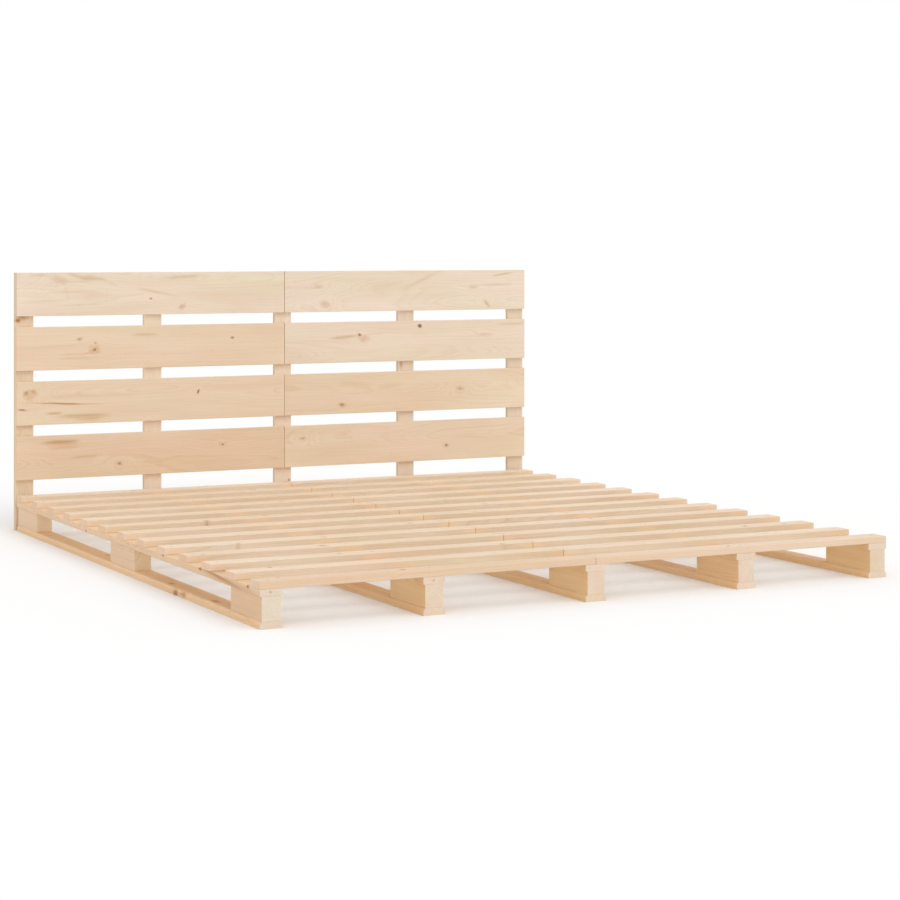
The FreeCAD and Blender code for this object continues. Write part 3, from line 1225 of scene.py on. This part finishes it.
# How each wide board of the headboard grew, by its node, row 1 on top, with the marks that the
# photograph shows: tone, pith, lean, contrast, ring width, knots and streaks
BOARD_MARKS = {
    "headboard_board_1_left": (Tone.PALE, (60, -70), 0.05, 0.18, 4.0, (
        Knot(-11, -17, 5.0, 0.55, 1.3, 0.25, 0.6), Knot(96, -46, 11.0, 0.22, 1.3, 0.36, 0.35, 0.3),
        Knot(-323, 46, 13.0, 0.0, 2.3, 0.30, 0.3, -0.25), Knot(-218, 54, 9.0, 0.0, 2.8, 0.22, 0.3, -0.1),
        Knot(-228, -2, 18.0, 0.0, 4.5, 0.10),
    ), (
        Streak(-388, 62, 26, 3.0, 0.02, 0.6), Streak(-262, 40, 46, 3.2, 0.0, 0.5),
        Streak(-262, 57, 34, 6.0, -0.32, 0.5), Streak(-212, 49, 40, 6.0, -0.03, 0.5),
        Streak(-160, 39, 30, 5.0, -0.40, 0.35), Streak(102, 53, 56, 5.5, 0.04, 0.7),
        Streak(12, 3, 62, 4.0, -0.20, 0.55), Streak(-300, 6, 60, 3.5, 0.02, 0.3),
        Streak(-380, -22, 60, 4.0, 0.05, 0.3),
    )),
    "headboard_board_1_right": (Tone.PALE, (-30, -85), -0.04, 0.20, 4.2, (
        Knot(-315, -43, 14.0, 0.06, 1.2, 0.34, 0.3, -0.2), Knot(-340, 15, 7.0, 0.05, 3.2, 0.22),
        Knot(311, -48, 8.0, 0.12, 1.9, 0.45, 0.3, -0.8), Knot(254, 10, 6.5, 0.05, 3.0, 0.34),
    ), (
        Streak(55, 36, 75, 7, 0.45, 0.4), Streak(349, 19, 60, 4.5, 0.02, 0.4),
        Streak(374, 55, 40, 3.5, 0.15, 0.7),
    )),
    "headboard_board_2_left": (Tone.CREAM, (130, -30), 0.02, 0.20, 3.0, (
        Knot(-204, -6, 16.0, 0.70, 1.2, 0.40, 0.25, 0.1), Knot(-201, 15, 5.0, 0.40, 1.3, 0.3),
        Knot(-255, 29, 7.0, 0.35, 1.6, 0.35), Knot(275, 24, 6.5, 0.75, 1.3, 0.35, 0.55),
    ), (
        Streak(-350, 6, 110, 6, 0.05, 0.3), Streak(-262, -19, 60, 3, 0.03, 0.45),
        Streak(-262, -33, 60, 3, 0.0, 0.45), Streak(-32, 40, 42, 5, 0.0, 0.5),
    )),
    "headboard_board_2_right": (Tone.PALE, (-40, -75), 0.04, 0.22, 3.8, (
        Knot(-184, 24, 7.0, 0.85, 1.3, 0.40, 0.5, -0.2), Knot(-168, 11, 12.0, 0.0, 1.9, 0.34),
        Knot(47, 51, 7.5, 0.95, 1.1, 0.35, 0.85), Knot(300, 18, 7.0, 0.04, 5.0, 0.26),
    ), (
        Streak(-243, 17, 50, 5.5, 0.08, 0.75), Streak(-130, 26, 34, 3.5, 0.0, 0.3),
        Streak(411, 53, 56, 3.5, 0.01, 0.6),
    )),
    "headboard_board_3_left": (Tone.CREAM, (35, -50), -0.03, 0.24, 3.0, (
        Knot(153, 22, 6.5, 0.80, 0.75, 0.35, 0.9, 0.8), Knot(-432, 34, 10.0, 0.34, 1.0, 0.45, 0.40, 0.4),
        Knot(-419, 24, 17.0, 0.0, 1.1, 0.34, 0.3), Knot(-406, 38, 8.0, 0.16, 1.4, 0.40, 0.35, -0.3),
        Knot(-445, -20, 4.0, 0.60, 4.4, 0.45, 0.6, -0.15),
        Knot(-309, -3, 3.2, 0.45, 32.0, 0.60, 0.55, -0.045),
    ), (
        Streak(-340, -34, 24, 4, 0.0, 0.75), Streak(-241, -45, 80, 8, 0.0, 0.75),
        Streak(-226, -57, 40, 5, 0.0, 0.5), Streak(-200, 20, 160, 7, 0.0, 0.3),
    )),
    "headboard_board_3_right": (Tone.CREAM, (10, -80), 0.03, 0.22, 4.0, (
        Knot(-251, -40, 9.0, 0.55, 1.4, 0.65, 0.4), Knot(205, 3, 9.0, 0.25, 1.7, 0.40, 0.4),
    ), (Streak(-70, 20, 45, 8, 0.1, 0.3), Streak(-200, 30, 60, 8, -0.1, 0.3))),
    "headboard_board_4_left": (Tone.STRAW, (-20, -45), 0.03, 0.24, 3.2, (
        # A broad tan patch near the left end, drawn with a pale knot's stain, with a dark streak through
        # it.
        Knot(-310, 42, 15.0, 0.0, 3.6, 0.26), Knot(-120, -30, 8.0, 0.50, 1.5, 0.4),
        Knot(240, 18, 7.0, 0.60, 1.3, 0.4),
    ), (
        Streak(-320, 48, 56, 6.0, 0.02, 0.9), Streak(-300, 30, 50, 3.5, 0.03, 0.5),
        Streak(-235, -3, 46, 5.0, 0.03, 0.5),
    )),
    "headboard_board_4_right": (Tone.CREAM, (30, -60), -0.03, 0.22, 3.4, (
        Knot(-397, 26, 8.0, 0.25, 1.6, 0.35), Knot(150, -20, 8.0, 0.60, 1.4, 0.4),
    ), ()),
}


@dataclass
class Headboard:
    """Five posts, four rows of two wide boards, and the spacers behind the runners."""

    rows: int = 4
    board_arris: float = 1.6 * MM
    post_arris: float = 1.6 * MM
    spacer_arris: float = 1.0 * MM
    # The seat for a washer and a bolt's head
    seat_radius: float = 11.5 * MM
    seat_depth: float = 6.5 * MM
    # The screws: above or below their board's middle, and beside their post's middle
    screw_rise: float = 35 * MM
    screw_spread: float = 15 * MM
    narrow_share: float = 0.5
    screw_stagger: float = 4 * MM
    # The late wood of all posts but the left one, and the painted shade on every post's edges,
    # drawn as a resin-coloured streak, its half sizes in millimetres
    post_contrast: float = 0.20
    edge_shade_half_length: float = 2000
    edge_shade_half_width: float = 5.2
    edge_shade_strength: float = 1.2
    left_edge_shade_strength: float = 0.6

    def pine_of_post(self, name: str, node: str, size: Vector) -> PlanedPine:
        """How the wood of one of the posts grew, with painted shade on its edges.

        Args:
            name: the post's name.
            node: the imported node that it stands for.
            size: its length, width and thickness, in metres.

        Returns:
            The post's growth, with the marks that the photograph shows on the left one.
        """
        # The band is a resin-coloured streak over both long edges: painted shade on every post's sides,
        # weaker on the left post.
        strength = self.left_edge_shade_strength if name == "left" else self.edge_shade_strength
        band = Streak(0, 0, self.edge_shade_half_length, self.edge_shade_half_width, 0.0, strength, True)
        if name == "left":
            return PlanedPine(Tone.CREAM, (-5, 40), 0.01, 0.28, 3.2, (
                Knot(259, -21, 9.0, 0.50, 0.9, 0.9, 0.5), Knot(268, -4, 17.0, 0.0, 0.5, 0.6),
                Knot(275, -4, 26.0, 0.0, 0.16, 0.6), Knot(-120, 12, 7.0, 0.5, 1.4, 0.4),
            ), (band,), node)
        # IVORY on two posts is a lighter PALE: painted light against the shade under the boards.
        pine = grown_by_chance(node, size, Tone.IVORY if name in ("mid_left", "middle") else Tone.PALE)
        return replace(pine, contrast=self.post_contrast, streaks=(band,))

    def screw_mouths(self, name: str, box: Box) -> list[Vector]:
        """Where the screws go into the back of one post, two for each board that it carries.

        Args:
            name: the post's name.
            box: the post's lowest and highest corners.

        Returns:
            The middle of each screw hole's mouth.
        """
        middle_x = (box[0].x + box[1].x) / 2
        mouths = []
        for row in range(1, self.rows + 1):
            low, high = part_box("headboard_board_%d_left" % row)
            for way in (-1, 1):
                level = (low.z + high.z) / 2 + way * self.screw_rise
                spots = [(way * self.screw_spread * self.narrow_share, 0.0)]
                if name == "middle":
                    spots = [(side * self.screw_spread, side * self.screw_stagger) for side in (-1, 1)]
                mouths += [Vector((middle_x + aside, box[1].y, level + up)) for aside, up in spots]
        return mouths

    def build(self, timber: Timber) -> list[Seat]:
        """Builds the headboard's wooden pieces and dresses them.

        Args:
            timber: makes the boards.

        Returns:
            Mouth and outward direction of each screw hole in the posts' backs.
        """
        for node, growth in BOARD_MARKS.items():
            board = Board(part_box(node), Lay.ACROSS_UPRIGHT, self.board_arris)
            timber.place(node + "_pine", board, PlanedPine(*growth, node), node, "pine_headboard_boards")
        for place, box in zip(RUNNER_NAMES, boxes_of("headboard_spacers", 0)):
            name = "spacer_" + place
            board = Board(box, Lay.UPRIGHT, self.spacer_arris)
            pine = grown_by_chance(name, board.size, Tone.HONEY)
            timber.place(name, board, pine, "headboard_spacers", "pine_posts")
        seats = []
        for name, washer in zip(RUNNER_NAMES, boxes_of("bolt_washers", 0)):
            node = "headboard_post_" + name
            board = Board(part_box(node), Lay.UPRIGHT, self.post_arris)
            bolt, radius = board.own(middle_of(washer)), self.seat_radius
            board.holes.append(Hole(bolt.x, bolt.y, radius, self.seat_depth, radius))
            for mouth in self.screw_mouths(name, board.box):
                at = board.own(mouth)
                board.holes.append(Hole(at.x, at.y))
                seats.append((mouth, Vector((0, 1, 0))))
            pine = self.pine_of_post(name, node, board.size)
            timber.place(node + "_pine", board, pine, node, "pine_posts")
        return seats


@dataclass
class WoodScrews:
    """Countersunk wood screws with a cross recess, their heads just under the wood's face."""

    head_radius: float = 4.0 * MM
    edge_width: float = 0.25 * MM
    shank_radius: float = 1.6 * MM
    head_depth: float = 2.4 * MM
    below_face: float = 0.35 * MM
    recess_reach: float = 2.3 * MM
    recess_half_width: float = 0.55 * MM
    recess_depth: float = 1.5 * MM
    recess_floor_share: float = 0.55
    # Normals: how far the cone's look down, the recess walls' look up, and all of them spread out
    cone_lean: float = -0.7
    recess_wall_lean: float = 0.3
    normal_spread: float = 0.001
    # The map: a screw's own square and the cone's place in head radii, the recess floor as a share
    map_reach: float = 2.2
    map_cone_share: float = 1.08
    map_floor_share: float = 0.5
    steps: int = 24

    def recess(self) -> list[Spot]:
        """The outline of the cross recess.

        Returns:
            Its corners, anticlockwise.
        """
        arm, half = self.recess_reach, self.recess_half_width
        outline = []
        for cos, sin in ((1, 0), (0, 1), (-1, 0), (0, -1)):
            for x, y in ((arm, -half), (arm, half), (half, half)):
                outline.append((x * cos - y * sin, x * sin + y * cos))
        return outline

    def drive(
        self,
        draft: MeshDraft,
        mouth: Vector,
        outward: Vector,
        turn: float,
        cell: tuple[float, float, float],
    ) -> None:
        """Adds one screw head to the draft.

        Args:
            draft: the mesh being made.
            mouth: the middle of the hole's mouth.
            outward: the direction the head looks.
            turn: how far the recess is turned, in radians.
            cell: corner and width of the screw's own square on the map.
        """
        facing = outward.to_track_quat("Z", "Y").to_matrix() @ Matrix.Rotation(turn, 3, "Z")
        top = mouth - outward * self.below_face
        left, low, width = cell
        reach = self.head_radius * self.map_reach

        def at(x: float, y: float, z: float) -> Vector:
            """A point of the screw in the bed's frame."""
            return top + facing @ Vector((x, y, z))

        def on_map(x: float, y: float, share: float = 1.0) -> Spot:
            """The map place of a point of the screw."""
            return left + width * (0.5 + share * x / reach), low + width * (0.5 + share * y / reach)

        turns = [math.tau * step / self.steps for step in range(self.steps)]
        circle = [(math.cos(angle), math.sin(angle)) for angle in turns]
        up = facing @ Vector((0, 0, 1))
        edge = self.head_radius - self.edge_width
        rims, spots = [], []
        for radius, depth, lean, place in (
            (edge, 0.0, 1.0, edge),
            (self.head_radius, -self.edge_width, 0.0, self.head_radius),
            (self.shank_radius, -self.head_depth, self.cone_lean, self.head_radius * self.map_cone_share),
        ):
            aside = 1 - abs(lean) + self.normal_spread
            rims.append([
                draft.point(
                    at(x * radius, y * radius, depth), facing @ Vector((x * aside, y * aside, lean)))
                for x, y in circle])
            spots.append([on_map(x * place, y * place) for x, y in circle])
        for outer in range(2):
            draft.band(*rims[outer:outer + 2], *spots[outer:outer + 2])

        cross = self.recess()
        sunk = [(x * self.recess_floor_share, y * self.recess_floor_share) for x, y in cross]
        mouth_ring = [draft.point(at(x, y, 0), up) for x, y in cross]
        on_face = {number: on_map(*spot) for number, spot in zip(mouth_ring, cross)}
        draft.flat([rims[0], mouth_ring], dict(zip(rims[0], spots[0])) | on_face)
        floor = [draft.point(at(x, y, -self.recess_depth), up) for x, y in sunk]
        on_floor = [on_map(x, y, self.map_floor_share) for x, y in cross]
        draft.flat([floor], dict(zip(floor, on_floor)))
        for here in range(len(cross)):
            there = (here + 1) % len(cross)
            (x1, y1), (x2, y2) = cross[here], cross[there]
            lean = self.recess_wall_lean * math.hypot(x2 - x1, y2 - y1)
            inward = facing @ Vector((y1 - y2, x2 - x1, lean))
            wall = [
                at(x1, y1, 0), at(x2, y2, 0),
                at(*sunk[there], -self.recess_depth), at(*sunk[here], -self.recess_depth)]
            draft.face(
                [draft.point(corner, inward) for corner in wall],
                [on_map(x1, y1), on_map(x2, y2), on_floor[there], on_floor[here]])

    def build(self, name: str, seats: Sequence[Seat], steel: Material) -> None:
        """Builds a set of screws as one piece.

        Args:
            name: the set's name.
            seats: mouth and outward direction of each hole.
            steel: their material.
        """
        draft = MeshDraft()
        chance = random.Random(name)
        grid = math.ceil(math.sqrt(len(seats)))
        for number, (mouth, outward) in enumerate(seats):
            cell = (number % grid / grid, number // grid / grid, 1 / grid)
            self.drive(draft, mouth, outward, chance.uniform(0, math.pi / 2), cell)
        piece = draft.to_object(name)
        piece.data.materials.append(steel)
        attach(piece, BODY)
        LOG.info("%s: %d screws, %d faces", name, len(seats), len(piece.data.polygons))


@dataclass
class HeadboardBolts:
    """The bolts, washers and cross nuts that pull the posts against the runners, as packed."""

    plated: tuple[str, ...] = ("headboard_bolts", "bolt_washers")
    turned: tuple[str, ...] = ("cross_nuts",)

    def dress(self, zinc: Material, steel: Material) -> None:
        """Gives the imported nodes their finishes.

        Args:
            zinc: the material of the plated ones.
            steel: the material of the turned ones.
        """
        for nodes, material in ((self.plated, zinc), (self.turned, steel)):
            for node in nodes:
                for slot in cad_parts[node].material_slots:
                    slot.material = material
                LOG.info("%s: dressed as %s", node, material.name)


@dataclass
class Studio:
    """A plain pale floor, a soft even light, and the camera at the photograph's angle."""

    floor_reach: float = 40.0
    # The colour that the bed sees and the one that the camera sees
    floor_colour: str = "#F4F4F3"
    seen_floor_colour: str = "#F9F9F9"
    dome: float = 0.87
    key_strength: float = 0.76
    key_spread: float = 50.0
    key_heading: tuple[float, float, float] = (0.21, -0.58, 0.79)
    # The camera: sensor and lens in millimetres, the yaw in degrees, the shift as shares of the width
    sensor: float = 36.0
    lens: float = 89.058
    camera_place: tuple[float, float, float] = (-2.93008, -5.95526, 0.91454)
    camera_yaw: float = -26.9445
    shift: Spot = (0.00507, -0.22809)

    def build(self) -> None:
        """Sets up the floor, the light and the camera."""
        scene = bpy.context.scene
        scene.view_settings.view_transform = "Standard"
        self.floor()
        self.world(scene)
        self.key()
        self.camera(scene)

    def floor(self) -> None:
        """A flat floor whose unshaded part shows as white."""
        reach = self.floor_reach
        mesh = bpy.data.meshes.new("studio_floor")
        corners = [(-reach, -reach, 0), (reach, -reach, 0), (reach, reach, 0), (-reach, reach, 0)]
        mesh.from_pydata(corners, [], [(0, 1, 2, 3)])
        floor = bpy.data.objects.new("studio_floor", mesh)
        bpy.context.scene.collection.objects.link(floor)
        made, node = new_material("matt_painted_studio_floor")
        seen = node("LightPath", output="Is Camera Ray")
        colour = node("Mix", seen, linear(self.floor_colour), linear(self.seen_floor_colour), **COLOURS)
        node("OutputMaterial", node("BsdfDiffuse", colour))
        mesh.materials.append(made)

    def world(self, scene: bpy.types.Scene) -> None:
        """An even dome of light that the camera, metal and glass see as white.

        Args:
            scene: the scene that gets it.
        """
        world = bpy.data.worlds.new("studio_dome")
        world.use_nodes = True
        scene.world = world
        node = partial(add, world.node_tree)
        world.node_tree.nodes.clear()
        path = node("LightPath").node.outputs
        seen = path["Is Camera Ray"]
        for title in ("Is Glossy Ray", "Is Transmission Ray"):
            seen = node("Math:MAXIMUM", seen, path[title])
        strength = node("MapRange", {"Value": seen, "To Min": self.dome, "To Max": 1.0})
        node("OutputWorld", node("Background", (*WHITE, 1.0), strength))

    def key(self) -> None:
        """A broad soft light from above the front right."""
        lamp = bpy.data.lights.new("key_light", "SUN")
        lamp.energy = self.key_strength
        lamp.angle = math.radians(self.key_spread)
        made = bpy.data.objects.new("key_light", lamp)
        made.rotation_euler = Vector(self.key_heading).to_track_quat("Z", "Y").to_euler()
        bpy.context.scene.collection.objects.link(made)

    def camera(self, scene: bpy.types.Scene) -> None:
        """A level camera with the photograph's place, lens and shift.

        Args:
            scene: the scene that gets it.
        """
        data = bpy.data.cameras.new("photo_camera")
        data.sensor_width = self.sensor
        data.lens = self.lens
        data.shift_x, data.shift_y = self.shift
        made = bpy.data.objects.new("photo_camera", data)
        made.location = self.camera_place
        made.rotation_euler = (math.pi / 2, 0, math.radians(self.camera_yaw))
        scene.collection.objects.link(made)
        scene.camera = made


def main() -> None:
    """Builds the bed frame, dresses it and sets up the studio."""
    logging.basicConfig(level=logging.INFO, format="%(message)s")
    timber = Timber(PineGrain())
    Runners().build(timber)
    slat_seats = SlatDeck().build(timber)
    post_seats = Headboard().build(timber)
    zinc = ZincPlatedSteel().material("zinc_plated_cold_formed_steel")
    screws = WoodScrews()
    screws.build("slat_screws", slat_seats, zinc)
    screws.build("headboard_screws", post_seats, zinc)
    HeadboardBolts().dress(zinc, TurnedSteel().material("turned_free_cutting_steel"))
    Studio().build()
    LOG.info("%d wooden pieces", timber.made)


if __name__ == "__main__":
    main()
